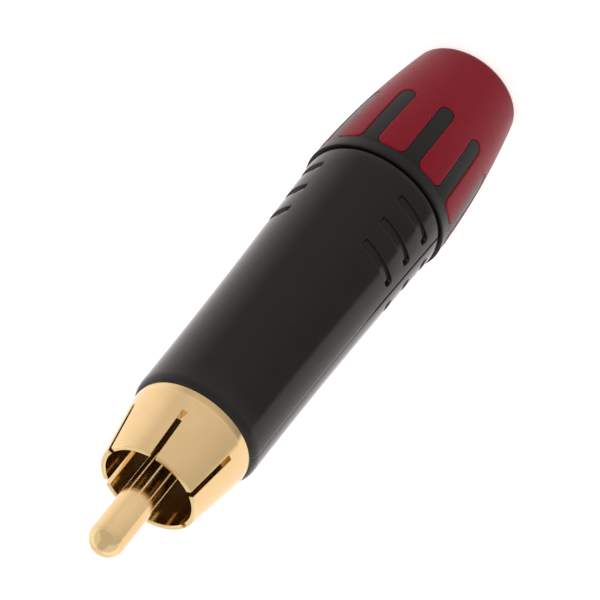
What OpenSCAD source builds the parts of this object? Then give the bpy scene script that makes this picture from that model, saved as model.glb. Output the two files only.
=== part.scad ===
/* [Signal pin] */
// Diameter of the pin that enters the jack
pin_d = 3.2; // [3:0.05:3.4]
// Reach of the pin's tip beyond the housing's front face
pin_reach = 14.7; // [13:0.1:17]
// Diameter of the pin's shank inside the insulator
pin_shank_d = 2.5; // [2.2:0.1:2.8]
// Length of the shank that stands out behind the insulator
pin_tail = 5.5; // [5:0.5:8]
// Bore of the solder cup in the shank's end
cup_d = 1.7; // [1.2:0.1:1.8]
// Depth of the solder cup
cup_depth = 4.5; // [3:0.5:4.5]
// Length of the cup's cut-away side
cup_cutaway = 3.2; // [2:0.2:4]

/* [Ground contact] */
// Length of the slotted collar in front of the housing
collar_len = 7; // [6:0.1:9]
// Length of the straight land between the housing and the collar's taper
collar_land = 0.85; // [0.4:0.05:1.2]
// Bore of the collar, which grips the jack's barrel
collar_bore_d = 8.3; // [8.1:0.05:8.5]
// Outside diameter of the collar at the housing
collar_base_d = 11.1; // [10.6:0.1:11.3]
// Outside diameter of the collar at its rim
collar_rim_d = 9.24; // [9:0.02:9.6]
// Rounding of the rim's outer edge
rim_round = 0.2; // [0.05:0.01:0.25]
// Depth from the rim to the insulator's face
socket_depth = 7.3; // [7.1:0.1:9]
// Number of saw slots that make the collar springy
slot_count = 6; // [4:1:8]
// Width of each saw slot
slot_w = 0.5; // [0.3:0.05:0.8]
// Depth of each saw slot from the rim
slot_depth = 4.9; // [3:0.1:5.5]
// Turn of the first slot about the axis
slot_turn = 22; // [0:1:60]
// Diameter of the shank pressed into the housing
contact_shank_d = 9.6; // [9.2:0.1:9.8]
// Length of the shank
contact_shank_len = 8; // [6:0.5:10]
// Length of the solder tongue behind the shank
tongue_len = 7; // [5:0.5:9]
// Thickness of the solder tongue
tongue_t = 0.6; // [0.5:0.05:0.7]
// Height of the tongue's side edges above the plug's axis
tongue_edge = 1.6; // [1:0.1:2.2]

/* [Insulator] */
// Diameter of the insulator's body
insulator_d = 6.8; // [6.2:0.1:7]
// Thickness of the insulator's front flange
insulator_flange = 0.8; // [0.6:0.1:1.2]
// Diameter of the boss behind the ground contact
boss_d = 5; // [4.4:0.1:5.6]
// Length of that boss
boss_len = 1.5; // [1:0.1:2.5]

/* [Housing] */
// Length of the visible housing
housing_len = 30.1; // [27:0.1:36]
// Diameter of the housing at its front
housing_front_d = 12; // [11.8:0.1:12.6]
// Diameter of the housing at its rear edge
housing_rear_d = 13.4; // [13:0.1:13.9]
// Rounding of the front edge
front_round = 0.42; // [0.2:0.02:0.44]
// Rounding of the rear edge
rear_round = 0.06; // [0.04:0.01:0.3]
// Diameter of the solder chamber
chamber_d = 8.4; // [8.2:0.1:8.6]
// Diameter of the threaded neck that the boot screws on
neck_d = 10; // [9.8:0.1:10.2]
// Length of the threaded neck
neck_len = 5.5; // [5.5:0.1:7]
// Bevel at the neck's end
neck_bevel = 0.35; // [0.2:0.05:0.5]

/* [Grip grooves] */
// Number of grooves in each group
groove_count = 3; // [1:1:4]
// Width of each groove
groove_w = 0.95; // [0.6:0.05:1.4]
// Depth of each groove
groove_depth = 0.22; // [0.1:0.01:0.6]
// Distance from one groove to the next
groove_pitch = 2.92; // [2:0.02:4]
// Distance from the rear edge to the middle of the first groove
groove_start = 2.2; // [1.5:0.1:4]
// Half width of the plain panel on the front and back
panel_half = 3.65; // [3:0.05:4.6]
// Half width of the plain land along the mould's parting plane
land_half = 1.1; // [0.8:0.05:2]

/* [Boot] */
// Length of the boot
boot_len = 16.8; // [15.5:0.1:20]
// Gap between the boot's front edge and the housing
seam_gap = 0.2; // [0.1:0.05:0.5]
// Step from the housing's rear edge up to the boot's front edge
boot_step = 0.25; // [0.15:0.05:0.6]
// Diameter of the boot where its side would meet its end
boot_end_d = 10.2; // [10:0.1:11.2]
// Radius of the boot's barrel-shaped side
boot_side_r = 89; // [60:1:160]
// Rounding of the boot's rear edge
boot_end_round = 0.9; // [0.5:0.1:1]
// Rounding of the boot's front edge
boot_lip_round = 0.06; // [0.04:0.01:0.2]
// Thickness of the soft grip over the core
grip_t = 0.75; // [0.6:0.05:0.9]
// Height of the soft grip above the core's ribs
grip_proud = 0.09; // [0.05:0.01:0.3]
// Width of the bare ring in front of the grip
ring_w = 1.2; // [0.8:0.05:2]
// Number of core ribs that show between the grip's fingers
rib_count = 10; // [6:1:12]
// Width of each rib
rib_w = 1.62; // [1:0.02:2]
// Distance from the boot's front edge to the ribs' round ends
rib_reach = 8.85; // [5:0.05:10]
// Rounding of the fingers' front corners
finger_round = 0.65; // [0.3:0.05:0.8]
// Turn of the first rib about the axis
rib_turn = -6.3; // [-18:0.1:18]
// Thickness of the grip's end wall behind the core
end_wall = 0.8; // [0.6:0.1:1]
// Thickness of the core's floor behind the chuck
core_floor = 1.8; // [1.2:0.1:2.4]

/* [Chuck] */
// Largest cable that the chuck takes
cable_d = 6.6; // [6.2:0.1:6.8]
// Length of the sleeve that slides in the neck
sleeve_len = 6; // [5.6:0.1:8]
// Thickness of the flange behind the neck
chuck_flange = 1.1; // [0.8:0.1:1.5]
// Wall of the jaws next to the flange
jaw_root_t = 1.2; // [1:0.1:1.3]
// Wall of the jaws at their tips
jaw_tip_t = 0.45; // [0.35:0.05:0.6]
// Number of jaws
jaw_count = 4; // [3:1:6]
// Width of the slits between the jaws
slit_w = 0.8; // [0.5:0.1:1.2]
// Number of gripping teeth along each jaw
tooth_count = 3; // [1:1:4]
// Height of the gripping teeth
tooth_h = 0.25; // [0.15:0.05:0.3]
// Distance from one tooth to the next
tooth_pitch = 1.2; // [1:0.1:1.5]
// Width of the keys that stop the chuck turning in the neck
key_w = 1.6; // [1:0.1:2]
// Height of those keys above the sleeve
key_h = 0.3; // [0.2:0.05:0.4]

/* [Clearances] */
// Radial gap of the pieces that are pressed together
press_gap = 0.02; // [0.01:0.01:0.03]
// Radial gap between the boot's thread and the neck
thread_gap = 0.15; // [0.1:0.01:0.2]
// Radial gap between the chuck's sleeve and the neck
sleeve_gap = 0.12; // [0.08:0.01:0.2]
// Gap between the chuck's jaws and the boot's cone
wedge_gap = 0.15; // [0.1:0.01:0.25]
// Gap between the chuck's flange and the faces beside it
seat_gap = 0.12; // [0.08:0.01:0.2]
// Gap around the cable at the boot's rear opening
cable_gap = 0.3; // [0.2:0.05:0.4]

/* [Hidden] */
$fn = 96;

// Overlap that lets one cut run clear of the next face
cut = 1;
// Steps along a long curve and along a small rounding
curve_steps = 6;
round_steps = 6;
// Depth by which a rib's block reaches into the core's wall and ring
rib_bite = 0.5;
// Height left square where a finger's corner rounding meets its front edge
corner_flat = 0.03;

black_paint = [0.10, 0.10, 0.10];
gold_plate = [0.86, 0.69, 0.40];
dark_resin = [0.16, 0.15, 0.14];
grey_resin = [0.32, 0.32, 0.33];
core_black = [0.13, 0.13, 0.13];
grip_red = [0.52, 0.13, 0.17];

// Heights along the axis, from the boot's end to the pin's tip
ring_z = boot_len - ring_w;
rib_top_z = ring_z + rib_bite;
seam_z = boot_len + seam_gap;
neck_z = seam_z - neck_len;
face_z = seam_z + housing_len;
rim_z = face_z + collar_len;
tip_z = face_z + pin_reach;
socket_z = rim_z - socket_depth;
shank_z = face_z - contact_shank_len;
boss_z = shank_z - boss_len;
tail_z = boss_z - pin_tail;

// Heights inside the boot
floor_z = end_wall + core_floor;
flange_top_z = neck_z - seat_gap;
flange_z = flange_top_z - chuck_flange;
shelf_z = flange_z - seat_gap;
jaw_z = floor_z + seat_gap + tooth_h;

// Radii that one piece takes from another
pin_r = pin_d / 2;
bore_r = collar_bore_d / 2;
chamber_r = chamber_d / 2;
contact_shank_r = contact_shank_d / 2;
insulator_r = insulator_d / 2;
neck_r = neck_d / 2;
thread_r = neck_r + thread_gap;
sleeve_r = chamber_r - sleeve_gap;
cable_r = cable_d / 2;
entry_r = cable_r + cable_gap;
jaw_root_r = cable_r + jaw_root_t;
jaw_tip_r = cable_r + jaw_tip_t;

// Points of a circular arc about c, from angle a0 to a1
function arc(c, r, a0, a1, steps) =
    [for (i = [0 : steps]) let (a = a0 + (a1 - a0) * i / steps) c + r * [cos(a), sin(a)]];

// Housing side: a flare that leaves the front edge parallel to the axis
flare_len = housing_len - front_round;
flare_rise = (housing_rear_d - housing_front_d) / 2;
flare_r = (pow(flare_len, 2) + pow(flare_rise, 2)) / (2 * flare_rise);
flare_z = face_z - front_round;
function side_r(z) =
    housing_front_d / 2 + flare_r - sqrt(pow(flare_r, 2) - pow(flare_z - z, 2));

// Boot side: an arc of boot_side_r through the front and the end diameters
boot_front_d = housing_rear_d + 2 * boot_step;
boot_chord = [(boot_front_d - boot_end_d) / 2, boot_len];
boot_mid = [(boot_front_d + boot_end_d) / 4, boot_len / 2];
boot_inward = [-boot_chord[1], boot_chord[0]] / norm(boot_chord);
boot_c = boot_mid + boot_inward * sqrt(pow(boot_side_r, 2) - pow(norm(boot_chord) / 2, 2));
function boot_r(z, sink) = boot_c[0] + sqrt(pow(boot_side_r - sink, 2) - pow(z - boot_c[1], 2));

// Points of the boot's side from height z0 up to z1, lowered by sink
function boot_side(z0, z1, sink) =
    [for (i = [0 : curve_steps]) let (z = z0 + (z1 - z0) * i / curve_steps) [boot_r(z, sink), z]];

// Rear rounding of the boot, tangent to its end face and to its side
boot_round_c = [
    boot_c[0] + sqrt(pow(boot_side_r - boot_end_round, 2) - pow(boot_end_round - boot_c[1], 2)),
    boot_end_round
];
boot_round_a = atan2(boot_round_c[1] - boot_c[1], boot_round_c[0] - boot_c[0]);
boot_round_z = boot_end_round + boot_end_round * sin(boot_round_a);

module tube(r_out, r_in, z0, z1) {
    translate([0, 0, z0]) difference() {
        cylinder(r = r_out, h = z1 - z0);
        translate([0, 0, -cut]) cylinder(r = r_in, h = z1 - z0 + 2 * cut);
    }
}

module around(count, turn) {
    for (i = [0 : count - 1]) rotate([0, 0, turn + 360 * i / count]) children();
}

// Four groups of grip grooves, parted by the plain panels and the parting lands
module grip_grooves() {
    reach = housing_rear_d;
    difference() {
        for (i = [0 : groove_count - 1]) {
            z = seam_z + groove_start + i * groove_pitch;
            tube(reach, side_r(z) - groove_depth, z - groove_w / 2, z + groove_w / 2);
        }
        translate([-panel_half, -2 * reach, seam_z]) cube([2 * panel_half, 4 * reach, housing_len]);
        translate([-2 * reach, -land_half, seam_z]) cube([4 * reach, 2 * land_half, housing_len]);
    }
}

module housing() {
    front_c = [housing_front_d / 2 - front_round, flare_z];
    rear_c = [side_r(seam_z + rear_round) - rear_round, seam_z + rear_round];
    side = [
        for (i = [0 : curve_steps])
            let (z = rear_c[1] + (flare_z - rear_c[1]) * i / curve_steps) [side_r(z), z]
    ];
    shell = concat(
        [[chamber_r, neck_z], [neck_r - neck_bevel, neck_z], [neck_r, neck_z + neck_bevel], [neck_r, seam_z]],
        arc(rear_c, rear_round, -90, -90 / round_steps, round_steps - 1),
        side,
        arc(front_c, front_round, 90 / round_steps, 90, round_steps - 1),
        [[contact_shank_r + press_gap, face_z], [contact_shank_r + press_gap, shank_z], [chamber_r, shank_z]]
    );
    color(black_paint) difference() {
        rotate_extrude() polygon(shell);
        grip_grooves();
        chuck_keys(sleeve_gap, neck_z - cut);
    }
}

// The two keys along the sleeve, grown by a gap to make their keyways in the neck
module chuck_keys(gap, z0) {
    inner_r = sleeve_r - key_h;
    top_z = neck_z + sleeve_len + gap;
    around(2, 0) translate([inner_r, -key_w / 2 - gap, z0])
        cube([2 * key_h + gap, key_w + 2 * gap, top_z - z0]);
}

module ground_contact() {
    taper = atan2(collar_base_d - collar_rim_d, 2 * (collar_len - collar_land));
    rim_c = [collar_rim_d / 2 - rim_round, rim_z - rim_round];
    tongue_r = insulator_r + tongue_t;
    turned = concat(
        [[insulator_r, shank_z], [contact_shank_r, shank_z], [contact_shank_r, face_z]],
        [[collar_base_d / 2, face_z], [collar_base_d / 2, face_z + collar_land]],
        arc(rim_c, rim_round, taper, 90, round_steps),
        [[bore_r, rim_z], [bore_r, socket_z - insulator_flange], [insulator_r, socket_z - insulator_flange]]
    );
    color(gold_plate) {
        difference() {
            rotate_extrude() polygon(turned);
            around(slot_count, slot_turn) translate([0, -slot_w / 2, rim_z - slot_depth])
                cube([collar_base_d, slot_w, slot_depth + cut]);
        }
        difference() {
            tube(tongue_r, insulator_r, shank_z - tongue_len, shank_z + cut);
            translate([-collar_base_d, tongue_edge - 2 * collar_base_d, shank_z - tongue_len - cut])
                cube([2 * collar_base_d, 2 * collar_base_d, tongue_len + cut]);
        }
    }
}

module insulator() {
    color(dark_resin) difference() {
        union() {
            translate([0, 0, socket_z - insulator_flange])
                cylinder(r = bore_r - press_gap, h = insulator_flange);
            translate([0, 0, shank_z])
                cylinder(r = insulator_r - press_gap, h = socket_z - shank_z - insulator_flange);
            translate([0, 0, boss_z]) cylinder(r = boss_d / 2, h = boss_len);
        }
        translate([0, 0, boss_z - cut])
            cylinder(r = pin_shank_d / 2 + press_gap, h = socket_z - boss_z + 2 * cut);
    }
}

module centre_pin() {
    color(gold_plate) difference() {
        union() {
            translate([0, 0, socket_z]) cylinder(r = pin_r, h = tip_z - pin_r - socket_z);
            translate([0, 0, tip_z - pin_r]) sphere(r = pin_r);
            translate([0, 0, tail_z]) cylinder(d = pin_shank_d, h = socket_z - tail_z);
        }
        translate([0, 0, tail_z - cut]) cylinder(d = cup_d, h = cup_depth + cut);
        translate([-pin_d, -pin_d, tail_z - cut]) cube([2 * pin_d, pin_d, cup_cutaway + cut]);
    }
}

module chuck() {
    outside = [
        [cable_r, jaw_z],
        [jaw_tip_r, jaw_z],
        [jaw_root_r, flange_z],
        [neck_r - neck_bevel, flange_z],
        [neck_r - neck_bevel, flange_top_z],
        [sleeve_r, flange_top_z],
        [sleeve_r, neck_z + sleeve_len],
        [cable_r, neck_z + sleeve_len]
    ];
    color(grey_resin) {
        difference() {
            union() {
                rotate_extrude() polygon(outside);
                for (i = [0 : tooth_count - 1]) tooth(jaw_z + tooth_h + tooth_pitch * (i + 0.5));
            }
            around(jaw_count, 180 / jaw_count) translate([0, -slit_w / 2, jaw_z - cut])
                cube([neck_d, slit_w, flange_z - jaw_z + cut]);
        }
        chuck_keys(0, flange_z);
    }
}

module tooth(z) {
    rotate_extrude() polygon([
        [cable_r + tooth_h, z - tooth_h],
        [cable_r - tooth_h, z - tooth_h],
        [cable_r, z + tooth_h],
        [cable_r + tooth_h, z + tooth_h]
    ]);
}

// Outline of one rib, with a round end behind and a flared mouth at the bare ring
module rib_outline() {
    end_z = boot_len - rib_reach + rib_w / 2;
    mouth_w = rib_w + 2 * finger_round;
    mouth_z = ring_z - finger_round + corner_flat;
    translate([0, end_z]) circle(d = rib_w);
    translate([-rib_w / 2, end_z]) square([rib_w, rib_top_z - end_z]);
    difference() {
        translate([-mouth_w / 2, mouth_z]) square([mouth_w, rib_top_z - mouth_z]);
        for (side = [-1, 1]) translate([side * mouth_w / 2, mouth_z]) circle(r = finger_round);
    }
}

// One rib as a block that runs outward from inside the core's wall
module rib_block() {
    root_r = boot_r(boot_len - rib_reach, grip_t) - rib_bite;
    rotate([90, 0, 90]) translate([0, 0, root_r]) linear_extrude(boot_front_d) rib_outline();
}

// The core is turned with the rib tops all round, then pocketed for the grip's fingers
module boot_core() {
    lip_c = [boot_front_d / 2 - boot_lip_round, boot_len - boot_lip_round];
    ring_foot_z = ring_z + ring_w / 4;
    body = concat(
        [[0, end_wall]],
        boot_side(end_wall, ring_foot_z, grip_proud),
        arc(lip_c, boot_lip_round, 0, 90, round_steps),
        [[0, boot_len]]
    );
    pocket = concat(
        [[boot_r(end_wall, grip_t), end_wall - cut]],
        boot_side(end_wall, ring_z, grip_t),
        [[boot_front_d, ring_z], [boot_front_d, end_wall - cut]]
    );
    jaw_slope = (jaw_root_r - jaw_tip_r) / (flange_z - jaw_z);
    hollow = [
        [0, end_wall - cut],
        [entry_r, end_wall - cut],
        [entry_r, floor_z],
        [jaw_tip_r + wedge_gap - jaw_slope * (jaw_z - floor_z), floor_z],
        [jaw_root_r + wedge_gap - jaw_slope * seat_gap, shelf_z],
        [thread_r, shelf_z],
        [thread_r, boot_len + cut],
        [0, boot_len + cut]
    ];
    color(core_black) difference() {
        rotate_extrude() polygon(body);
        difference() {
            rotate_extrude() polygon(pocket);
            around(rib_count, rib_turn) rib_block();
        }
        rotate_extrude() polygon(hollow);
    }
}

module boot_grip() {
    inside = boot_side(end_wall, ring_z, grip_t);
    skin = concat(
        [[entry_r, 0]],
        arc(boot_round_c, boot_end_round, -90, boot_round_a, round_steps),
        boot_side(boot_round_z + boot_end_round / 4, ring_z, 0),
        [for (i = [curve_steps : -1 : 0]) inside[i]],
        [[entry_r, end_wall]]
    );
    color(grip_red) difference() {
        rotate_extrude() polygon(skin);
        around(rib_count, rib_turn) rib_block();
    }
}

housing();
ground_contact();
insulator();
centre_pin();
chuck();
boot_core();
boot_grip();
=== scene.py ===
"""RCA plug: fine shapes, finishes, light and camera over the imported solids."""
import math

import bmesh
import bpy
import numpy as np
from mathutils import Matrix, Vector


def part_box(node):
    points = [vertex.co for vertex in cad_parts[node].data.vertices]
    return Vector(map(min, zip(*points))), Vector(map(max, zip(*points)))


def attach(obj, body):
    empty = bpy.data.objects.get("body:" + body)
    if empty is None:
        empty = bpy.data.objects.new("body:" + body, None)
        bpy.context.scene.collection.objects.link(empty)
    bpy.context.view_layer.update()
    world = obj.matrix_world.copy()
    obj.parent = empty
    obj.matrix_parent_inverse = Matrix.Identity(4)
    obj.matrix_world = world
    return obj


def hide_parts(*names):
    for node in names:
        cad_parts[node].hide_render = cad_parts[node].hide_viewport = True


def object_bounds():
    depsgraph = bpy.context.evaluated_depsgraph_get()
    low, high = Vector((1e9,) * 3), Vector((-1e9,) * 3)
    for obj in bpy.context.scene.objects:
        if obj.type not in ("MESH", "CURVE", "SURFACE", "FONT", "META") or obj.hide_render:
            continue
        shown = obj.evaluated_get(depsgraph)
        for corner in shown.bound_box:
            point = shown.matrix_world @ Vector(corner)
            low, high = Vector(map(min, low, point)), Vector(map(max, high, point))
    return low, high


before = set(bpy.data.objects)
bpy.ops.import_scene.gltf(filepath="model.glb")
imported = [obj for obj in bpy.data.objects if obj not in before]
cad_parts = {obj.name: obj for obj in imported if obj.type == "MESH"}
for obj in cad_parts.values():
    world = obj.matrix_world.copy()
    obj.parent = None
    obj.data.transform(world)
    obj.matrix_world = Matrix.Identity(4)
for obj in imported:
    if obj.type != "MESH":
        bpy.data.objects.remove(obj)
cad_low, cad_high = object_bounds()

# Sizes are in millimetres and turn into metres when a mesh is made
MM = 0.001
# Heights closer than this are the same row
SAME = 1e-6
# Columns round a plain turned piece
AROUND = 96
FINE_ROUND = 0.05
EDGE_ROUND = 0.1


def heights(node):
    """Lowest and highest point of a CAD node, in millimetres."""
    low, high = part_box(node)
    return low[2] / MM, high[2] / MM


NECK_Z, FACE_Z = heights("housing")
TONGUE_Z, RIM_Z = heights("ground_contact")
BOSS_Z, SOCKET_Z = heights("insulator")
TAIL_Z, TIP_Z = heights("centre_pin")
JAW_Z, SLEEVE_Z = heights("chuck")
CORE_Z, BOOT_Z = heights("boot_core")
RING_Z = heights("boot_grip")[1]

# Signal pin and insulator
PIN_R = 1.6
PIN_SHANK_R = 1.25
CUP_R = 0.85
CUP_DEPTH = 4.5
CUP_CUTAWAY = 3.2
CUP_LIP_ROUND = 0.08
NOSE_STEPS = 20
FLANGE_T = 0.8
INSULATOR_R = 3.38
BOSS_R = 2.5
BOSS_ROUND = 0.2
PRESS_GAP = 0.02

# Ground contact
BORE_R = 4.15
COLLAR_BASE_R = 5.62
COLLAR_RIM_R = 4.62
COLLAR_LAND = 0.85
COLLAR_BACK_ROUND = 0.06
COLLAR_LAND_BLEND = 0.5
RIM_OUTER_ROUND = 0.2
RIM_INNER_ROUND = 0.15
SLOT_COUNT = 6
SLOT_TURN = 22
SLOT_HALF = 0.25
SLOT_DEPTH = 4.9
SLOT_CORNER = 0.14
SAW_RISE = 0.2
# Degrees from a slot's middle to the first plain column of a finger, and how many columns
SLOT_CLEAR = 7
COLLAR_COLUMNS = 12
CONTACT_SHANK_R = 4.8
CONTACT_SHANK_LEN = 8
CONTACT_SHANK_ROUND = 0.12
TONGUE_T = 0.6
TONGUE_EDGE = 1.6
TONGUE_ROOT = 0.5
TONGUE_COLUMNS = 33
COLLAR_EDGE_ROUND = 0.05

# Housing
SEAM_Z = 16.95
FRONT_R = 6.0
REAR_R = 6.7
FRONT_ROUND = 0.42
FRONT_RUN = 0.95
REAR_ROUND = 0.06
CHAMBER_R = 4.2
SEAT_BEVEL = 0.08
# Rows along the plain side, and the least height between two rows
SIDE_ROWS = 18
ROW_GAP = 0.001
GROOVE_COUNT = 3
GROOVE_HALF = 0.475
GROOVE_LAND_DEPTH = 0.3
GROOVE_PANEL_DEPTH = 0.2
GROOVE_PITCH = 2.92
GROOVE_START = 2.25
GROOVE_LIP = 0.07
GROOVE_FOOT = 0.04
GROOVE_DRAFT = 0.03
GROOVE_CORNER = 0.3
GROOVE_RAMP = 0.22
# Degrees from the parting line to a groove's end at the panel
PANEL_END = 54.8
LAND_HALF = 1.1
MOULD_SOFTEN = 0.03
PARTING_HALF = 0.16
PARTING_DEPTH = 0.2
# Heights between which the line fades, and the share that is left
PARTING_FADE = (25.0, 29.0)
PARTING_FAINT = 0.12

# Threaded neck
NECK_R = 5.0
NECK_BEVEL = 0.35
NECK_END_DROP = 0.1
THREAD_PITCH = 1.0
THREAD_DEPTH = 0.34
THREAD_STEPS = 20
# Share of its height that the thread has where it starts
THREAD_START = 0.4
THREAD_RELIEF = 0.7
RELIEF_RUN = 0.2
KEYWAY_HALF = 0.92
KEYWAY_R = 4.5
KEYWAY_END = 6.12
STEP_RUN = 0.02

# Boot
BOOT_FRONT_R = 6.95
BOOT_END_R = 5.1
BOOT_SIDE_R = 89
BOOT_END_ROUND = 0.9
BOOT_LIP_ROUND = 0.08
GRIP_T = 0.75
GRIP_PROUD = 0.06
GRIP_EDGE_ROUND = 0.055
GRIP_EDGE_WIDE = 0.2
GRIP_REAR_Z = 2.4
FINGER_SHY = 0.13
RIB_COUNT = 10
RIB_HALF = 0.81
RIB_REACH = 8.85
RIB_TURN = -6.3
RIB_EDGE_ROUND = 0.04
RIB_HAIRLINE = 0.05
FINGER_ROUND = 0.65
ENTRY_R = 3.6
ENTRY_ROUND = 0.15
CORE_FLOOR_Z = 2.6
SHELF_Z = 10.16
CONE_FLOOR_R = 3.87
CONE_SHELF_R = 4.64
BOOT_THREAD_R = 5.15
THREAD_MOUTH = 0.25
# The bare ring starts just in front of the fingers
RING_START = 0.06
RING_ROWS = 8

# Chuck
CABLE_R = 3.3
JAW_TIP_R = 3.75
JAW_ROOT_R = 4.5
CHUCK_FLANGE_R = 4.65
CHUCK_FLANGE_T = 1.1
CHUCK_SEAT_GAP = 0.12
SLEEVE_R = 4.08
SLEEVE_ROUND = 0.15
JAW_COUNT = 4
SLIT_HALF = 0.4
# Degrees from a slit's middle to the first plain column of a jaw, and how many columns
SLIT_CLEAR = 12
JAW_COLUMNS = 16
TOOTH_COUNT = 3
TOOTH_H = 0.25
TOOTH_PITCH = 1.2
KEY_HALF = 0.8
KEY_R = 4.38
# How far a key reaches into the sleeve and the flange, and ends short of the sleeve's end
KEY_SINK = 0.2


# Profiles in the plane of radius and height

def arc(centre, radius, start, end, steps):
    """Points of a circular arc, with its angles in degrees."""
    a = np.radians(np.linspace(start, end, steps + 1))
    return np.column_stack((centre[0] + radius * np.cos(a), centre[1] + radius * np.sin(a)))


def line(start, end, steps):
    """Evenly spaced points of a straight line, both ends included."""
    t = np.linspace(0, 1, steps + 1)[:, None]
    return np.asarray(start) * (1 - t) + np.asarray(end) * t


def rounded(corners, steps=5):
    """Closed outline through corners of (radius, height, rounding), with arcs at the rounded ones."""
    points = []
    for i, (r, z, rounding) in enumerate(corners):
        corner = np.array((r, z), float)
        if not rounding:
            points.append(corner)
            continue
        before = np.array(corners[i - 1][:2]) - corner
        after = np.array(corners[(i + 1) % len(corners)][:2]) - corner
        before /= np.linalg.norm(before)
        after /= np.linalg.norm(after)
        half = math.acos(np.clip(before @ after, -1, 1)) / 2
        bisector = (before + after) / np.linalg.norm(before + after)
        centre = corner + bisector * rounding / math.sin(half)
        first = corner + before * rounding / math.tan(half) - centre
        last = corner + after * rounding / math.tan(half) - centre
        sweep = math.pi - 2 * half
        for k in range(steps + 1):
            t = k / steps
            mix = math.sin((1 - t) * sweep) * first + math.sin(t * sweep) * last
            points.append(centre + mix / math.sin(sweep))
    return np.array(points)


# Meshes made of welded patches

class Skin:
    """Collects patches of faces and welds them into one closed mesh."""

    def __init__(self):
        self.verts = []
        self.faces = []

    def add(self, points, faces):
        """Points as an array of places, and faces as lists of their numbers."""
        base = len(self.verts)
        self.verts.extend(map(tuple, np.asarray(points).reshape(-1, 3)))
        self.faces.extend([base + i for i in face] for face in faces)

    def patch(self, points):
        """A grid of points as quads."""
        n, m = points.shape[:2]
        cells = [(i * m + j, (i + 1) * m + j) for i in range(n - 1) for j in range(m - 1)]
        self.add(points, [(a, b, b + 1, a + 1) for a, b in cells])


def polar(r, angle, z):
    """Places from radius, angle in radians and height."""
    r, angle, z = np.broadcast_arrays(r, angle, z)
    return np.stack((r * np.cos(angle), r * np.sin(angle), z), axis=-1)


def lathe(lines, rows, zones=(), flare=None):
    """A turned closed profile, with zones cut away.

    lines are (angle in degrees, offset): a plane at that offset beside the axis, or through it.
    rows are the profile's points. A zone is (first line, last line, first row, last row).
    flare widens the offsets row by row; the rows of a zone then come in pairs, outside and inside.
    """
    turn = np.radians([a for a, _ in lines])[:, None]
    offset = np.array([d for _, d in lines])[:, None]
    if flare is not None:
        offset = offset + np.sign(offset) * flare[None, :]
    r, z = rows[:, 0][None, :], rows[:, 1][None, :]
    lean = np.arcsin(np.clip(offset / np.maximum(r, 1e-6), -1, 1))
    points = polar(r, turn + lean, z)
    n, m = len(lines), len(rows)
    cut = set()
    faces = []
    for first, last, low, high in zones:
        cut |= {(i % n, j % m) for i in range(first, last) for j in range(low, high)}
        for i in (first, last):
            wall = [(i % n) * m + j % m for j in range(low, high + 1)]
            if flare is None:
                faces.append(wall)
            else:
                pairs = list(zip(wall, reversed(wall)))[:len(wall) // 2]
                faces += [(a, c, d, b) for (a, b), (c, d) in zip(pairs, pairs[1:])]
        for i in range(first, last):
            a, b = (i % n) * m, ((i + 1) % n) * m
            faces.append((a + low % m, b + low % m, b + high % m, a + high % m))
    for i in range(n):
        for j in range(m):
            if (i, j) not in cut:
                a, b, k = i * m, ((i + 1) % n) * m, (j + 1) % m
                faces.append((a + j, b + j, b + k, a + k))
    skin = Skin()
    skin.add(points, faces)
    return skin


def even_lines(count):
    """Lines through the axis at even angles."""
    return [(360 * i / count, 0) for i in range(count)]


WELD = 0.0008
SHARP_ANGLE = math.radians(38)


def piece(name, skin, body, node, slot, bevel=0):
    """Turns a skin into an object that rides on a body and stands for a node."""
    mesh = bpy.data.meshes.new(name)
    mesh.from_pydata(skin.verts, [], skin.faces)
    edit = bmesh.new()
    edit.from_mesh(mesh)
    bmesh.ops.remove_doubles(edit, verts=edit.verts, dist=WELD)
    bmesh.ops.dissolve_degenerate(edit, edges=edit.edges, dist=WELD / 4)
    bmesh.ops.recalc_face_normals(edit, faces=edit.faces)
    bmesh.ops.scale(edit, vec=(MM, MM, MM), verts=edit.verts)
    edit.to_mesh(mesh)
    edit.free()
    mesh.shade_smooth()
    obj = bpy.data.objects.new(name, mesh)
    bpy.context.scene.collection.objects.link(obj)
    if bevel:
        cut = obj.modifiers.new("edges", "BEVEL")
        cut.width = bevel * MM
        cut.segments = 3
        cut.limit_method = "ANGLE"
        cut.angle_limit = SHARP_ANGLE
        cut.harden_normals = True
    else:
        mesh.set_sharp_from_angle(angle=SHARP_ANGLE)
    mesh.materials.append(MATERIALS[slot])
    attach(obj, body)
    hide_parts(node)
    return obj


# Materials

def colour(r, g, b):
    return (r, g, b, 1.0)


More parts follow.
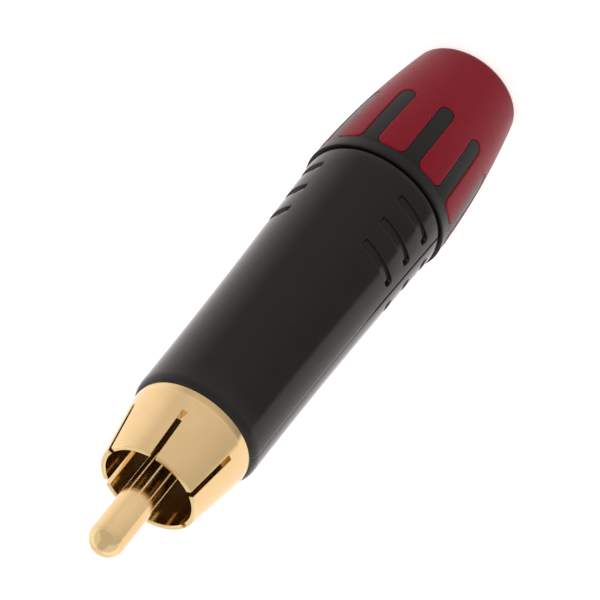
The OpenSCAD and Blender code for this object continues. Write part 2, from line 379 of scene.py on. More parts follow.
class Finish:
    """A procedural surface: a shader with grain in its colour, roughness and relief."""

    def __init__(self, name, base, roughness, metallic=0.0, specular=0.5, tint=(1, 1, 1)):
        self.material = bpy.data.materials.new(name)
        self.material.use_nodes = True
        self.nodes = self.material.node_tree.nodes
        self.links = self.material.node_tree.links
        self.shader = self.nodes["Principled BSDF"]
        self.shader.inputs["Base Color"].default_value = colour(*base)
        self.shader.inputs["Roughness"].default_value = roughness
        self.shader.inputs["Metallic"].default_value = metallic
        self.shader.inputs["Specular IOR Level"].default_value = specular
        self.shader.inputs["Specular Tint"].default_value = colour(*tint)
        self.place = self.nodes.new("ShaderNodeTexCoord").outputs["Object"]

    def noise(self, size, detail=2.0, stretch=(1, 1, 1)):
        """Noise whose grains are about size millimetres wide, before the stretch."""
        mapping = self.nodes.new("ShaderNodeMapping")
        mapping.inputs["Scale"].default_value = tuple(1 / (size * MM * s) for s in stretch)
        self.links.new(self.place, mapping.inputs["Vector"])
        noise = self.nodes.new("ShaderNodeTexNoise")
        noise.inputs["Scale"].default_value = 1.0
        noise.inputs["Detail"].default_value = detail
        self.links.new(mapping.outputs["Vector"], noise.inputs["Vector"])
        return noise.outputs["Fac"]

    def vary_colour(self, grain, dark, light):
        """Colour that wanders between two close tones."""
        ramp = self.nodes.new("ShaderNodeValToRGB")
        ramp.color_ramp.elements[0].position = 0.3
        ramp.color_ramp.elements[1].position = 0.7
        ramp.color_ramp.elements[0].color = colour(*dark)
        ramp.color_ramp.elements[1].color = colour(*light)
        self.links.new(grain, ramp.inputs["Fac"])
        self.links.new(ramp.outputs["Color"], self.shader.inputs["Base Color"])

    def vary_roughness(self, grain, low, high):
        span = self.nodes.new("ShaderNodeMapRange")
        span.inputs["From Min"].default_value = 0.3
        span.inputs["From Max"].default_value = 0.7
        span.inputs["To Min"].default_value = low
        span.inputs["To Max"].default_value = high
        self.links.new(grain, span.inputs["Value"])
        self.links.new(span.outputs["Result"], self.shader.inputs["Roughness"])

    def relief(self, grain, depth, strength):
        """Bumps of that depth in millimetres, on top of any that are there."""
        bump = self.nodes.new("ShaderNodeBump")
        bump.inputs["Strength"].default_value = strength
        bump.inputs["Distance"].default_value = depth * MM
        self.links.new(grain, bump.inputs["Height"])
        if self.shader.inputs["Normal"].is_linked:
            below = self.shader.inputs["Normal"].links[0].from_socket
            self.links.new(below, bump.inputs["Normal"])
        self.links.new(bump.outputs["Normal"], self.shader.inputs["Normal"])


WARM = (1.0, 0.95, 0.92)


def black_paint():
    finish = Finish("black_paint", (0.0112, 0.0112, 0.0105), 0.12, specular=0.3, tint=WARM)
    finish.vary_colour(finish.noise(1.5), (0.0102, 0.0102, 0.0095), (0.0122, 0.0122, 0.0115))
    finish.vary_roughness(finish.noise(0.6), 0.1, 0.15)
    finish.relief(finish.noise(0.12), 0.002, 0.2)
    return finish.material


def gold_plate():
    finish = Finish("gold_plate", (0.78, 0.567, 0.292), 0.15, metallic=1.0)
    finish.vary_colour(finish.noise(2.0), (0.76, 0.552, 0.28), (0.8, 0.582, 0.304))
    finish.vary_roughness(finish.noise(0.5, stretch=(1, 1, 0.2)), 0.11, 0.18)
    finish.relief(finish.noise(0.06, detail=1, stretch=(40, 40, 1)), 0.001, 0.25)
    return finish.material


def insulator_resin():
    finish = Finish("insulator_resin", (0.13, 0.11, 0.075), 0.5)
    finish.vary_roughness(finish.noise(0.3), 0.45, 0.58)
    finish.relief(finish.noise(0.08), 0.004, 0.3)
    return finish.material


def chuck_resin():
    finish = Finish("chuck_resin", (0.05, 0.05, 0.052), 0.5)
    finish.vary_roughness(finish.noise(0.3), 0.45, 0.58)
    finish.relief(finish.noise(0.08), 0.004, 0.3)
    return finish.material


def boot_resin():
    finish = Finish("boot_resin", (0.007, 0.0067, 0.0063), 0.32, specular=0.2, tint=WARM)
    finish.vary_colour(finish.noise(0.9), (0.006, 0.0058, 0.0055), (0.008, 0.0078, 0.0073))
    finish.vary_roughness(finish.noise(0.4), 0.28, 0.36)
    finish.relief(finish.noise(0.07), 0.004, 0.25)
    return finish.material


def red_grip():
    finish = Finish("red_grip", (0.33, 0.0075, 0.022), 0.42, specular=0.16)
    finish.vary_colour(finish.noise(1.1), (0.315, 0.0069, 0.0205), (0.345, 0.0081, 0.0235))
    finish.shader.inputs["Sheen Weight"].default_value = 0.35
    finish.shader.inputs["Sheen Roughness"].default_value = 0.3
    finish.vary_roughness(finish.noise(0.35), 0.38, 0.47)
    finish.relief(finish.noise(0.10), 0.008, 0.35)
    finish.relief(finish.noise(0.035), 0.004, 0.3)
    return finish.material


MATERIALS = {
    make.__name__: make()
    for make in (black_paint, gold_plate, insulator_resin, chuck_resin, boot_resin, red_grip)
}


# Signal pin

def centre_pin():
    nose = arc((0, TIP_Z - PIN_R), PIN_R, 90, 0, NOSE_STEPS)
    cutaway_z = TAIL_Z + CUP_CUTAWAY
    tail = rounded([
        (0, TIP_Z, 0),
        (PIN_R, SOCKET_Z, FINE_ROUND),
        (PIN_SHANK_R, SOCKET_Z, 0),
        (PIN_SHANK_R, cutaway_z, 0),
        (PIN_SHANK_R, TAIL_Z, CUP_LIP_ROUND),
        (CUP_R, TAIL_Z, CUP_LIP_ROUND),
        (CUP_R, cutaway_z, 0),
        (CUP_R, TAIL_Z + CUP_DEPTH, 0),
        (0, TAIL_Z + CUP_DEPTH, 0),
    ])[1:]
    rows = np.vstack((nose, tail))
    at_cut = [j for j, (r, z) in enumerate(rows) if r > 0 and abs(z - cutaway_z) < SAME]
    lines = even_lines(AROUND)
    half = len(lines) // 2
    return lathe(lines, rows, [(half, 2 * half, at_cut[0], at_cut[1])])


piece("signal_pin", centre_pin(), "plug", "centre_pin", "gold_plate")


# Insulator

def insulator():
    shank_z = FACE_Z - CONTACT_SHANK_LEN
    pin_hole = PIN_SHANK_R + PRESS_GAP
    rows = rounded([
        (pin_hole, BOSS_Z, EDGE_ROUND),
        (BOSS_R, BOSS_Z, BOSS_ROUND),
        (BOSS_R, shank_z, 0),
        (INSULATOR_R, shank_z, EDGE_ROUND),
        (INSULATOR_R, SOCKET_Z - FLANGE_T, 0),
        (BORE_R - PRESS_GAP, SOCKET_Z - FLANGE_T, FINE_ROUND),
        (BORE_R - PRESS_GAP, SOCKET_Z, EDGE_ROUND),
        (pin_hole, SOCKET_Z, EDGE_ROUND),
    ])
    return lathe(even_lines(AROUND), rows)


piece("insulator_disc", insulator(), "plug", "insulator", "insulator_resin")


# Ground contact: collar with sawn slots, shank and solder tongue

def solder_tongue(skin, top_z):
    """The tongue behind the shank: a strip of a tube that is closed all round."""
    inner_r = INSULATOR_R + 1.5 * PRESS_GAP
    outer_r = INSULATOR_R + PRESS_GAP + TONGUE_T
    section = np.array(((inner_r, TONGUE_Z), (outer_r, TONGUE_Z), (outer_r, top_z), (inner_r, top_z)))
    edge = np.arcsin(TONGUE_EDGE / section[:, 0])[None, :]
    t = np.linspace(0, 1, TONGUE_COLUMNS)[:, None]
    strip = polar(section[:, 0][None, :], edge * (1 - t) + (math.pi - edge) * t, section[:, 1][None, :])
    skin.patch(np.concatenate((strip, strip[:, :1]), axis=1))
    for cap in (strip[0], strip[-1]):
        skin.add(cap, [(0, 1, 2, 3)])


def ground_contact():
    shank_z = FACE_Z - CONTACT_SHANK_LEN
    slot_z = RIM_Z - SLOT_DEPTH
    seat_z = SOCKET_Z - FLANGE_T
    land_z = FACE_Z + COLLAR_LAND
    slope = (COLLAR_BASE_R - COLLAR_RIM_R) / (RIM_Z - land_z)
    inner_r = INSULATOR_R + PRESS_GAP
    rows = rounded([
        (inner_r, shank_z, 0),
        (CONTACT_SHANK_R, shank_z, CONTACT_SHANK_ROUND),
        (CONTACT_SHANK_R, FACE_Z, 0),
        (COLLAR_BASE_R, FACE_Z, COLLAR_BACK_ROUND),
        (COLLAR_BASE_R, land_z, COLLAR_LAND_BLEND),
        (COLLAR_BASE_R - slope * (slot_z - land_z), slot_z, 0),
        (COLLAR_RIM_R, RIM_Z, RIM_OUTER_ROUND),
        (BORE_R, RIM_Z, RIM_INNER_ROUND),
        (BORE_R, slot_z + SAW_RISE, 0),
        (BORE_R, seat_z, 0),
        (inner_r, seat_z, 0),
    ])
    # The saw leaves the slots' floors higher inside
    floor_z = np.where(rows[:, 0] > BORE_R, slot_z, slot_z + SAW_RISE)
    at_slot = [j for j, gap in enumerate(np.abs(rows[:, 1] - floor_z)) if gap < SAME]
    rise = np.clip(rows[:, 1] - RIM_Z + SLOT_CORNER, 0, SLOT_CORNER)
    flare = SLOT_CORNER - np.sqrt(SLOT_CORNER ** 2 - rise ** 2)

    lines = []
    pitch = 360 / SLOT_COUNT
    for k in range(SLOT_COUNT):
        turn = SLOT_TURN + pitch * k
        lines += [(turn, -SLOT_HALF), (turn, SLOT_HALF)]
        lines += [(turn + a, 0) for a in np.linspace(SLOT_CLEAR, pitch - SLOT_CLEAR, COLLAR_COLUMNS)]
    step = len(lines) // SLOT_COUNT
    zones = [(k * step, k * step + 1, at_slot[0], at_slot[1]) for k in range(SLOT_COUNT)]
    skin = lathe(lines, rows, zones, flare)
    solder_tongue(skin, shank_z + TONGUE_ROOT)
    return skin


piece("ground_collar", ground_contact(), "plug", "ground_contact", "gold_plate", bevel=COLLAR_EDGE_ROUND)


# Housing: flared shell with grip grooves, mould parting lines and a threaded neck

FLARE_Z = FACE_Z - FRONT_RUN
FLARE_LEN = FLARE_Z - SEAM_Z
FLARE_RISE = REAR_R - FRONT_R
FLARE_R = (FLARE_LEN ** 2 + FLARE_RISE ** 2) / (2 * FLARE_RISE)
GROOVE_MIDS = [SEAM_Z + GROOVE_START + i * GROOVE_PITCH for i in range(GROOVE_COUNT)]
# Places across a groove's wall, from its rounded lip to its rounded foot
ROUND_SHARES = np.array((1.0, 0.7, 0.4, 0.18, 0.04))
WALL_STEPS = np.concatenate((
    -GROOVE_LIP * ROUND_SHARES,
    (0.0, GROOVE_DRAFT),
    GROOVE_DRAFT + GROOVE_FOOT * ROUND_SHARES[::-1],
    GROOVE_CORNER * np.array((0.65, 0.85, 1.1)),
))


def side_r(z):
    """Radius of the housing's side."""
    return FRONT_R + FLARE_R - np.sqrt(FLARE_R ** 2 - (FLARE_Z - z) ** 2)


def wall_share(d):
    """Share of a groove's depth at a distance d inside its edge."""
    past = np.clip(d + GROOVE_LIP, 0, GROOVE_LIP)
    lip = GROOVE_LIP - np.sqrt(np.maximum(GROOVE_LIP ** 2 - past ** 2, 0))
    bottom = GROOVE_LAND_DEPTH - GROOVE_FOOT
    wall = GROOVE_LIP + (bottom - GROOVE_LIP) * np.clip(d / GROOVE_DRAFT, 0, 1)
    rise = np.clip(d - GROOVE_DRAFT, 0, GROOVE_FOOT)
    foot = bottom + np.sqrt(GROOVE_FOOT ** 2 - (GROOVE_FOOT - rise) ** 2)
    return np.where(d < 0, lip, np.where(d < GROOVE_DRAFT, wall, foot)) / GROOVE_LAND_DEPTH


def soft_min(a, b, k):
    return np.minimum(a, b) - np.maximum(k - np.abs(a - b), 0) ** 2 / (4 * k)


def grooved_r(angle, z):
    """Radius of the grooved side: deep with round corners at the lands, and shallow at the panels."""
    side = side_r(z)
    from_parting = np.abs((angle + math.pi / 2) % math.pi - math.pi / 2)
    land, panel = np.arcsin(LAND_HALF / side), math.radians(PANEL_END)
    from_land = side * (from_parting - land)
    from_panel = side * (panel - from_parting)
    along = np.clip((from_parting - land) / (panel - land), 0, 1)
    full = GROOVE_LAND_DEPTH * (1 - along) + GROOVE_PANEL_DEPTH * along
    depth = 0
    for mid in GROOVE_MIDS:
        from_side = GROOVE_HALF - np.abs(z - mid)
        u, v = GROOVE_CORNER - from_land, GROOVE_CORNER - from_side
        in_corner = (u > 0) & (v > 0)
        inside = np.where(in_corner, GROOVE_CORNER - np.hypot(u, v), np.minimum(from_land, from_side))
        depth = np.maximum(depth, full * wall_share(inside))
    slope = full * from_panel / GROOVE_RAMP
    return side - np.maximum(soft_min(depth, slope, MOULD_SOFTEN), 0)


def parting_r(angle, r, z):
    """Radius less the fine line where the two mould halves meet, which fades towards the front."""
    across = np.abs(r * np.sin(angle))
    depth = PARTING_DEPTH * np.interp(z, PARTING_FADE, (1, PARTING_FAINT))
    return r - depth * np.clip(1 - across / PARTING_HALF, 0, 1)


def threaded_r(angle, z):
    """Radius of the neck, with a right-hand thread that runs out at both ends."""
    phase = 2 * math.pi * z / THREAD_PITCH - angle
    crest = 0.5 + 0.5 * np.clip(1.5 * np.cos(phase), -1, 1)
    run_in = np.clip((z - NECK_Z - NECK_BEVEL) / THREAD_PITCH, 0, 1)
    relief = np.clip((SEAM_Z - THREAD_RELIEF - z) / RELIEF_RUN, 0, 1)
    height = crest * relief * (THREAD_START + (1 - THREAD_START) * run_in)
    return NECK_R - THREAD_DEPTH * (1 - height)


def quadrant_angles():
    """Angles in degrees from one parting line to the next panel's middle, close where features end."""
    land = math.degrees(math.asin(LAND_HALF / REAR_R))
    return np.concatenate((
        np.degrees(np.array((0, 0.25, 0.5, 0.75, 1.0, 1.5)) * PARTING_HALF / REAR_R),
        np.linspace(2.5, land - 2.5, 3),
        np.arange(land - 1.0, land + 3.5, 0.22),
        np.linspace(land + 5, PANEL_END - 4, 12),
        np.arange(PANEL_END - 2.8, PANEL_END + 0.8, 0.25),
        np.linspace(PANEL_END + 2.5, 87, 12),
    ))


def housing():
    quarter = np.radians(quadrant_angles())
    half = np.concatenate((quarter, [math.pi / 2], math.pi - quarter[:0:-1]))
    angles = np.concatenate((half, half + math.pi))[:, None]
    rear_r = side_r(SEAM_Z + REAR_ROUND)
    side_z = [np.linspace(SEAM_Z + REAR_ROUND, FLARE_Z, SIDE_ROWS)]
    for mid in GROOVE_MIDS:
        side_z += [mid - GROOVE_HALF + WALL_STEPS, mid + GROOVE_HALF - WALL_STEPS]
    side_z = np.unique(np.round(np.concatenate(side_z), 5))
    crowded = np.concatenate(([False], np.diff(side_z) < ROW_GAP))
    side_z = side_z[~crowded]
    thread_z = np.arange(NECK_Z + NECK_BEVEL, SEAM_Z - STEP_RUN, THREAD_PITCH / THREAD_STEPS)
    shank_z = FACE_Z - CONTACT_SHANK_LEN
    seat_r = CONTACT_SHANK_R + PRESS_GAP

    rear = arc((rear_r - REAR_ROUND, SEAM_Z + REAR_ROUND), REAR_ROUND, -90, 0, 6)[:-1]
    front_c = np.array((FRONT_R - FRONT_ROUND, FLARE_Z))
    front = front_c + (FRONT_ROUND, FRONT_RUN) * arc((0, 0), 1, 0, 90, 12)[1:]
    inside = np.array((
        (seat_r + SEAT_BEVEL, FACE_Z), (seat_r, FACE_Z - SEAT_BEVEL), (seat_r, shank_z),
        (CHAMBER_R, shank_z), (CHAMBER_R, NECK_Z + KEYWAY_END + STEP_RUN),
    ))
    bore = np.array(((CHAMBER_R, NECK_Z + KEYWAY_END), (CHAMBER_R, NECK_Z)))
    neck_end = np.array(((NECK_R - NECK_BEVEL - NECK_END_DROP, NECK_Z),))

    def plain(profile):
        return np.broadcast_to(profile[:, 0], (len(angles), len(profile))), profile[:, 1]

    def parted(profile):
        r, z = plain(profile)
        return parting_r(angles, r, z), z

    in_key = np.abs(bore[:, 0] * np.sin(angles)) < KEYWAY_HALF
    key_r = np.where(in_key, KEYWAY_R, bore[:, 0])
    stretches = [
        parted(rear),
        (parting_r(angles, grooved_r(angles, side_z[None, :]), side_z), side_z),
        parted(front),
        plain(inside),
        (key_r, bore[:, 1]),
        plain(neck_end),
        (threaded_r(angles, thread_z[None, :]), thread_z),
        plain(np.array(((NECK_R - THREAD_DEPTH, SEAM_Z),))),
    ]
    r = np.hstack([s[0] for s in stretches])
    z = np.concatenate([s[1] for s in stretches])
    points = polar(r, angles, z[None, :])
    closed = np.concatenate((points, points[:1]))
    closed = np.concatenate((closed, closed[:, :1]), axis=1)
    skin = Skin()
    skin.patch(closed)
    return skin


piece("housing_shell", housing(), "plug", "housing", "black_paint")


# Boot: hard core with ribs, and the soft grip whose fingers lie between them

SECTOR = math.pi / RIB_COUNT
FINGER_Z = RING_Z - FINGER_SHY
END_Z = BOOT_Z - RIB_REACH + RIB_HALF
MOUTH_Z = FINGER_Z - FINGER_ROUND
CHORD = np.array((BOOT_FRONT_R - BOOT_END_R, BOOT_Z))
CHORD_LEN = np.linalg.norm(CHORD)
BOOT_C = np.array(((BOOT_FRONT_R + BOOT_END_R) / 2, BOOT_Z / 2)) + (
    np.array((-CHORD[1], CHORD[0])) / CHORD_LEN * math.sqrt(BOOT_SIDE_R ** 2 - CHORD_LEN ** 2 / 4)
)


def boot_r(z, sink=0.0):
    """Radius of the boot's barrel-shaped side, or of one lying sink below it."""
    return BOOT_C[0] + np.sqrt((BOOT_SIDE_R - sink) ** 2 - (z - BOOT_C[1]) ** 2)


HALF_PITCH = SECTOR * boot_r((END_Z + FINGER_Z) / 2)
END_STEPS, SIDE_STEPS, MOUTH_STEPS, FRONT_STEPS = 10, 10, 7, 2


def rib_edge(gap):
    """Half a rib's outline, grown by gap: round end, straight side, flared mouth and finger front."""
    mouth_c = (RIB_HALF + FINGER_ROUND, MOUTH_Z)
    return np.vstack((
        arc((0, END_Z), RIB_HALF + gap, -90, 0, END_STEPS),
        line((RIB_HALF + gap, END_Z), (RIB_HALF + gap, MOUTH_Z), SIDE_STEPS)[1:-1],
        arc(mouth_c, FINGER_ROUND - gap, 180, 90, MOUTH_STEPS),
        line((mouth_c[0], FINGER_Z - gap), (HALF_PITCH, FINGER_Z - gap), FRONT_STEPS)[1:],
    ))


def finger_middle(rear_z, front_z):
    """Where the lines from a rib's outline end: the rear edge, then the finger's middle line."""
    half = END_STEPS // 2
    return np.vstack((
        line((0, rear_z), (HALF_PITCH, rear_z), half),
        line((HALF_PITCH, rear_z), (HALF_PITCH, END_Z), END_STEPS - half)[1:],
        line((HALF_PITCH, END_Z), (HALF_PITCH, MOUTH_Z), SIDE_STEPS)[1:-1],
        line((HALF_PITCH, MOUTH_Z), (HALF_PITCH, front_z), MOUTH_STEPS + FRONT_STEPS),
    ))


def boot_angle(across, z):
    """Angle from a rib's middle: true to width at the rib, and a full sector at the finger's middle."""
    share = across / HALF_PITCH
    plain = HALF_PITCH / boot_r(z)
    return share * plain + (SECTOR - plain) * share ** 3


def on_boot(chart, sink):
    """Places from a chart of (distance across, height) and the depth below the boot's side."""
    across, z = chart[..., 0], chart[..., 1]
    return boot_r(z) - sink, boot_angle(across, z), z


def all_round(skin, r, angle, z):
    """One half sector's patch, on both sides of every rib."""
    for k in range(RIB_COUNT):
        middle = math.radians(RIB_TURN) + 2 * SECTOR * k
        for side in (1, -1):
            skin.patch(polar(r, middle + side * angle, z))


FIELD_SHARES = (0.25, 0.5, 0.75, 1.0)


def finger_field(skin, gaps, sinks, rear_z):
    """The surface round the ribs: loops at given gaps and depths, then lines to the finger's middle."""
    loops = [rib_edge(g) for g in gaps]
    middle = finger_middle(rear_z, FINGER_Z - gaps[-1])
    loops += [loops[-1] * (1 - s) + middle * s for s in FIELD_SHARES]
    depths = list(sinks) + [sinks[-1]] * len(FIELD_SHARES)
    all_round(skin, *on_boot(np.stack(loops, axis=1), np.array(depths)[None, :]))


def rib_wall(skin, gap, sinks):
    """The wall that stands on a rib's outline."""
    chart = np.repeat(rib_edge(gap)[:, None, :], len(sinks), axis=1)
    all_round(skin, *on_boot(chart, np.array(sinks)[None, :]))


def turned_end(skin, profile, first, last):
    """A turned stretch whose columns go from the first set of angles to the last."""
    t = np.linspace(0, 1, len(profile))[None, :]
    angle = first[:, None] * (1 - t) + last[:, None] * t
    r = np.broadcast_to(profile[:, 0], angle.shape)
    z = np.broadcast_to(profile[:, 1], angle.shape)
    all_round(skin, r, angle, z)


def rear_columns(z):
    return boot_angle(np.linspace(0, HALF_PITCH, END_STEPS // 2 + 1), z)


def boot_grip():
    skin = Skin()
    turn = np.radians(np.linspace(0, 90, 7))
    gaps = np.append(GRIP_EDGE_WIDE * (1 - np.cos(turn)), 1.5 * GRIP_EDGE_WIDE)
    sinks = np.append(GRIP_EDGE_ROUND * (1 - np.sin(turn)), 0)
    finger_field(skin, gaps, sinks, GRIP_REAR_Z)
    rib_wall(skin, 0, (GRIP_EDGE_ROUND, GRIP_PROUD, GRIP_T))
    finger_field(skin, (0, GRIP_EDGE_WIDE), (GRIP_T, GRIP_T), CORE_Z)
    inner_r = boot_r(CORE_Z) - GRIP_T
    reach = BOOT_SIDE_R - BOOT_END_ROUND
    round_c = (BOOT_C[0] + math.sqrt(reach ** 2 - (BOOT_END_ROUND - BOOT_C[1]) ** 2), BOOT_END_ROUND)
    lean = math.degrees(math.atan2(round_c[1] - BOOT_C[1], round_c[0] - BOOT_C[0]))
    start_z = round_c[1] + BOOT_END_ROUND * math.sin(math.radians(lean))
    side_z = np.linspace(GRIP_REAR_Z, start_z, 4)[:-1]
    side = np.column_stack((boot_r(side_z), side_z))
    end = arc(round_c, BOOT_END_ROUND, lean, -90, 10)
    mouth = arc((ENTRY_R + ENTRY_ROUND, ENTRY_ROUND), ENTRY_ROUND, -90, -180, 5)
    inside = np.array(((ENTRY_R, CORE_Z), (inner_r, CORE_Z)))
    profile = np.vstack((side, end, mouth, inside))
    turned_end(skin, profile, rear_columns(GRIP_REAR_Z), rear_columns(CORE_Z))
    return skin


piece("boot_grip_red", boot_grip(), "boot", "boot_grip", "red_grip")


def ring_sink(z):
    """Depth of the core below the grip's surface: rib tops, rising smoothly to the bare ring."""
    t = np.clip((z - FINGER_Z) / (BOOT_Z - BOOT_LIP_ROUND - FINGER_Z), 0, 1)
    return GRIP_PROUD * (1 - t * t * (3 - 2 * t))


def boot_core():
    skin = Skin()
    gap = -RIB_HAIRLINE
    stop = -FRONT_STEPS
    loops = [rib_edge(gap)[:stop], rib_edge(gap - RIB_EDGE_ROUND)[:stop]]
    for share in (0.5, 1.0):
        loops.append(loops[1] * (1 - share * np.array((1, 0))))
    edge_sink = GRIP_PROUD + RIB_EDGE_ROUND
    sinks = np.array((edge_sink, GRIP_PROUD, GRIP_PROUD, GRIP_PROUD))
    top = np.stack(loops, axis=1)
    sink = np.broadcast_to(sinks[None, :], top.shape[:2])
    all_round(skin, *on_boot(top, sink))
    rib_wall(skin, gap, (edge_sink, GRIP_T))
    finger_field(skin, (gap, GRIP_EDGE_WIDE), (GRIP_T, GRIP_T), CORE_Z)

    # The bare ring in front of the ribs and the fingers
    foot = np.vstack((top[-1][::-1], rib_edge(gap)[stop:]))
    foot_sink = np.append(sink[-1][::-1], [edge_sink] * FRONT_STEPS)
    rows = [(foot[:, 0], foot[:, 1], boot_r(foot[:, 1]) - foot_sink)]
    for z in np.linspace(FINGER_Z + RING_START, BOOT_Z - BOOT_LIP_ROUND, RING_ROWS):
        flat = np.full(len(foot), z)
        rows.append((foot[:, 0], flat, boot_r(flat) - ring_sink(z)))
    across, z, r = (np.stack([row[k] for row in rows], axis=1) for k in range(3))
    angle = boot_angle(across, z)
    all_round(skin, r, angle, z)

    lip_c = (r[0, -1] - BOOT_LIP_ROUND, BOOT_Z - BOOT_LIP_ROUND)
    lip = arc(lip_c, BOOT_LIP_ROUND, 0, 90, 5)
    inside = np.array((
        (BOOT_THREAD_R + THREAD_MOUTH, BOOT_Z), (BOOT_THREAD_R, BOOT_Z - THREAD_MOUTH),
        (BOOT_THREAD_R, SHELF_Z), (CONE_SHELF_R, SHELF_Z), (CONE_FLOOR_R, CORE_FLOOR_Z),
        (ENTRY_R, CORE_FLOOR_Z), (ENTRY_R, CORE_Z), (boot_r(CORE_Z) - GRIP_T, CORE_Z),
    ))
    turned_end(skin, np.vstack((lip, inside)), angle[:, -1], rear_columns(CORE_Z))
    return skin


piece("boot_core_black", boot_core(), "boot", "boot_core", "boot_resin")


# Chuck: slit jaws with teeth, flange, and the keyed sleeve that slides in the neck

KEY_FACES = ((0, 1, 3, 2), (4, 6, 7, 5), (0, 4, 5, 1), (2, 3, 7, 6), (0, 2, 6, 4), (1, 5, 7, 3))


def chuck():
    flange_top = NECK_Z - CHUCK_SEAT_GAP
    flange_z = flange_top - CHUCK_FLANGE_T
    teeth = []
    for k in reversed(range(TOOTH_COUNT)):
        z = JAW_Z + TOOTH_H + TOOTH_PITCH * (k + 0.5)
        low_z = z - TOOTH_H
        teeth += [(CABLE_R, z + TOOTH_H, 0), (CABLE_R - TOOTH_H, low_z, 0), (CABLE_R, low_z, 0)]
    rows = rounded([
        (CABLE_R, JAW_Z, 0),
        (JAW_TIP_R, JAW_Z, EDGE_ROUND),
        (JAW_ROOT_R, flange_z, 0),
        (CHUCK_FLANGE_R, flange_z, FINE_ROUND),
        (CHUCK_FLANGE_R, flange_top, EDGE_ROUND),
        (SLEEVE_R, flange_top, 0),
        (SLEEVE_R, SLEEVE_Z, SLEEVE_ROUND),
        (CABLE_R, SLEEVE_Z, SLEEVE_ROUND),
        (CABLE_R, flange_z, 0),
    ] + teeth)
    inside_r = CHUCK_FLANGE_R - EDGE_ROUND
    at_root = [j for j, (r, z) in enumerate(rows) if abs(z - flange_z) < SAME and r < inside_r]
    lines = []
    pitch = 360 / JAW_COUNT
    for k in range(JAW_COUNT):
        turn = pitch * (k + 0.5)
        lines += [(turn, -SLIT_HALF), (turn, SLIT_HALF)]
        lines += [(turn + a, 0) for a in np.linspace(SLIT_CLEAR, pitch - SLIT_CLEAR, JAW_COLUMNS)]
    step = len(lines) // JAW_COUNT
    zones = [(k * step, k * step + 1, at_root[1], at_root[0] + len(rows)) for k in range(JAW_COUNT)]
    skin = lathe(lines, rows, zones)
    for side in (1, -1):
        ends = np.array((SLEEVE_R - KEY_SINK, KEY_R)) * side
        levels = (flange_top - KEY_SINK, SLEEVE_Z - KEY_SINK)
        corners = [(x, y, z) for x in ends for y in (-KEY_HALF, KEY_HALF) for z in levels]
        skin.add(corners, KEY_FACES)
    return skin


piece("cable_chuck", chuck(), "chuck", "chuck", "chuck_resin")


# Camera: the housing's front face lies at a measured place in the photograph's frame

AZIMUTH = math.radians(-115)
ELEVATION = math.radians(35.643)
AXIS_LEAN = math.radians(128.663)
DEPTH = 340
FACE_RIGHT = -8.974
FACE_DOWN = 11.087
SENSOR = 36
LENS = 245.1


def toward_camera():
    level = math.cos(ELEVATION)
    return Vector((level * math.cos(AZIMUTH), level * math.sin(AZIMUTH), math.sin(ELEVATION)))


def add_camera():
    data = bpy.data.cameras.new("photo_camera")
    data.sensor_fit = "HORIZONTAL"
    data.sensor_width = SENSOR
    data.lens = LENS
    data.clip_start = 0.01
    data.clip_end = 20
    camera = bpy.data.objects.new("photo_camera", data)
    bpy.context.scene.collection.objects.link(camera)
    out = toward_camera()
    rise = (Vector((0, 0, 1)) - out * out.z).normalized()
    level = rise.cross(out)
    right = rise * math.cos(AXIS_LEAN) - level * math.sin(AXIS_LEAN)
    up = -rise * math.sin(AXIS_LEAN) - level * math.cos(AXIS_LEAN)
    place = Vector((0, 0, FACE_Z)) + out * DEPTH - right * FACE_RIGHT + up * FACE_DOWN
    turn = Matrix((right, up, out)).transposed().to_4x4()
    camera.matrix_world = Matrix.Translation(place * MM) @ turn
    bpy.context.scene.camera = camera


add_camera()


# Stage: white floor with a sector of painted shade, and soft light

def seen_plainly(nodes, links):
    """1 for camera, glossy and transmission rays, otherwise 0."""
    path = nodes.new("ShaderNodeLightPath")
    total = path.outputs["Is Camera Ray"]
    for name in ("Is Glossy Ray", "Is Transmission Ray"):
        add = nodes.new("ShaderNodeMath")
        add.operation = "MAXIMUM"
        links.new(total, add.inputs[0])
        links.new(path.outputs[name], add.inputs[1])
        total = add.outputs[0]
    return total


FLOOR_HALF = 3.0
FLOOR_WHITE = (0.525, 0.5, 0.495)
FLOOR_LIFT = 1.5
# A sector of painted shade on the floor, standing in for the dim room on the camera's side, which the
# plug mirrors as a painted reflection: share of white by degrees from the camera's side
SHADE_SECTOR_TONES = (
    (-180, 1.0), (-75, 0.95), (-69, 0.32), (-40, 0.42), (0, 0.56),
    (30, 0.58), (56, 0.52), (80, 0.8), (104, 0.96), (136, 1.0),
)
# How much of the painted shade sector shows, by distance in metres from the plug's axis
SHADE_SECTOR_SHARES = ((0.0235, 0.0), (0.027, 1.0), (0.0745, 1.0), (0.0785, 0.45), (0.095, 0.45), (0.12, 0.68))


def stops_ramp(nodes, stops, low, high, shade):
    """A colour ramp whose stops are given over the span from low to high."""
    ramp = nodes.new("ShaderNodeValToRGB")
    elements = ramp.color_ramp.elements
    while len(elements) < len(stops):
        elements.new(1.0)
    for element, (at, share) in zip(elements, stops):
        element.position = (at - low) / (high - low)
        element.color = colour(*[share * tone for tone in shade])
    return ramp


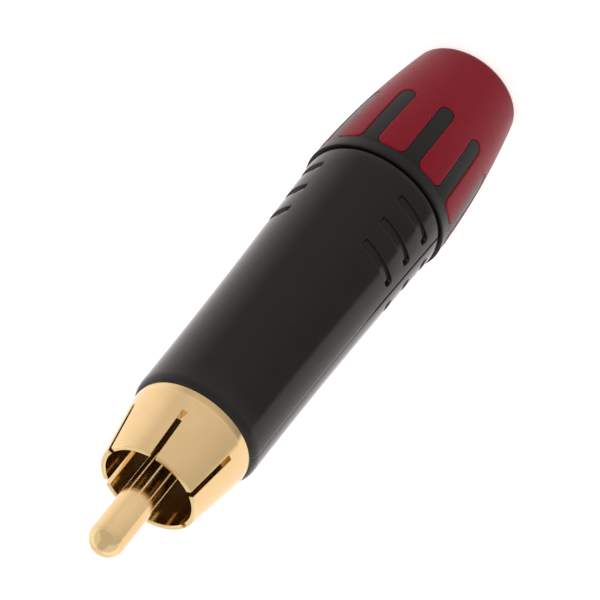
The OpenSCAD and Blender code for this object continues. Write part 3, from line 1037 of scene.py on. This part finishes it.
def floor_tone_painted_shade(nodes, links):
    """White, with the painted shade sector round part of the plug."""
    place = nodes.new("ShaderNodeTexCoord").outputs["Object"]

    def along(direction):
        dot = nodes.new("ShaderNodeVectorMath")
        dot.operation = "DOT_PRODUCT"
        dot.inputs[1].default_value = direction
        links.new(place, dot.inputs[0])
        return dot.outputs["Value"]

    ahead = Vector((math.cos(AZIMUTH), math.sin(AZIMUTH), 0))
    bearing = nodes.new("ShaderNodeMath")
    bearing.operation = "ARCTAN2"
    links.new(along(Vector((-ahead.y, ahead.x, 0))), bearing.inputs[0])
    links.new(along(ahead), bearing.inputs[1])
    turn = nodes.new("ShaderNodeMapRange")
    turn.inputs["From Min"].default_value = -math.pi
    turn.inputs["From Max"].default_value = math.pi
    links.new(bearing.outputs[0], turn.inputs["Value"])
    # Painted shade: the floor darkens by bearing from the camera's side, in the sector the plug mirrors
    sector = stops_ramp(nodes, SHADE_SECTOR_TONES, -180, 180, FLOOR_WHITE)
    links.new(turn.outputs["Result"], sector.inputs["Fac"])

    reach = nodes.new("ShaderNodeVectorMath")
    reach.operation = "LENGTH"
    links.new(place, reach.inputs[0])
    share = stops_ramp(nodes, SHADE_SECTOR_SHARES, 0, 1, (1, 1, 1))
    links.new(reach.outputs["Value"], share.inputs["Fac"])
    tone = nodes.new("ShaderNodeMix")
    tone.data_type = "RGBA"
    tone.inputs["A"].default_value = colour(*FLOOR_WHITE)
    links.new(share.outputs["Color"], tone.inputs["Factor"])
    links.new(sector.outputs["Color"], tone.inputs["B"])
    return tone.outputs["Result"]


def add_floor():
    material = bpy.data.materials.new("floor_white_painted_shade")
    material.use_nodes = True
    nodes, links = material.node_tree.nodes, material.node_tree.links
    nodes.clear()
    diffuse = nodes.new("ShaderNodeBsdfDiffuse")
    # The floor's colour carries the painted shade, both for its diffuse light and for its glow
    tone = floor_tone_painted_shade(nodes, links)
    links.new(tone, diffuse.inputs["Color"])
    glow = nodes.new("ShaderNodeEmission")
    links.new(tone, glow.inputs["Color"])
    lift = nodes.new("ShaderNodeMath")
    lift.operation = "MULTIPLY"
    lift.inputs[1].default_value = FLOOR_LIFT
    links.new(seen_plainly(nodes, links), lift.inputs[0])
    links.new(lift.outputs[0], glow.inputs["Strength"])
    both = nodes.new("ShaderNodeAddShader")
    links.new(diffuse.outputs[0], both.inputs[0])
    links.new(glow.outputs[0], both.inputs[1])
    links.new(both.outputs[0], nodes.new("ShaderNodeOutputMaterial").inputs["Surface"])
    mesh = bpy.data.meshes.new("floor")
    signs = ((-1, -1), (1, -1), (1, 1), (-1, 1))
    corners = [(x * FLOOR_HALF, y * FLOOR_HALF, 0) for x, y in signs]
    mesh.from_pydata(corners, [], [(0, 1, 2, 3)])
    mesh.materials.append(material)
    floor = bpy.data.objects.new("floor", mesh)
    bpy.context.scene.collection.objects.link(floor)


# Two equal lamps, in degrees, metres and watts
LAMP_ELEVATION = 30
LAMP_DISTANCE = 0.9
LAMP_SIZE = 1.4
LAMP_POWER = 1.5


def add_softbox(name, azimuth):
    """A square lamp that faces the plug."""
    data = bpy.data.lights.new(name, "AREA")
    data.shape = "SQUARE"
    data.size = LAMP_SIZE
    data.energy = LAMP_POWER
    lamp = bpy.data.objects.new(name, data)
    bpy.context.scene.collection.objects.link(lamp)
    a, e = math.radians(azimuth), math.radians(LAMP_ELEVATION)
    out = Vector((math.cos(e) * math.cos(a), math.cos(e) * math.sin(a), math.sin(e)))
    lamp.location = Vector((0, 0, (cad_low[2] + cad_high[2]) / 2)) + out * LAMP_DISTANCE
    lamp.rotation_euler = out.to_track_quat("Z", "Y").to_euler()


# Level of the sky by the cosine from the camera's side: a dim room in front, a white sweep behind
SKY_LEVELS = ((-1.0, 1.05), (0.0, 1.05), (0.08, 0.7), (1.0, 0.7))


def add_world():
    world = bpy.data.worlds.new("studio")
    world.use_nodes = True
    nodes, links = world.node_tree.nodes, world.node_tree.links
    ahead = nodes.new("ShaderNodeVectorMath")
    ahead.operation = "DOT_PRODUCT"
    ahead.inputs[1].default_value = toward_camera()
    links.new(nodes.new("ShaderNodeTexCoord").outputs["Generated"], ahead.inputs[0])
    share = nodes.new("ShaderNodeMapRange")
    share.inputs["From Min"].default_value = -1
    links.new(ahead.outputs["Value"], share.inputs["Value"])
    sky = stops_ramp(nodes, SKY_LEVELS, -1, 1, (1, 1, 1))
    links.new(share.outputs["Result"], sky.inputs["Fac"])
    links.new(sky.outputs["Color"], nodes["Background"].inputs["Color"])
    bpy.context.scene.world = world


add_floor()
add_softbox("left_softbox", -10)
add_softbox("right_softbox", 140)
add_world()
bpy.context.scene.view_settings.view_transform = "Standard"
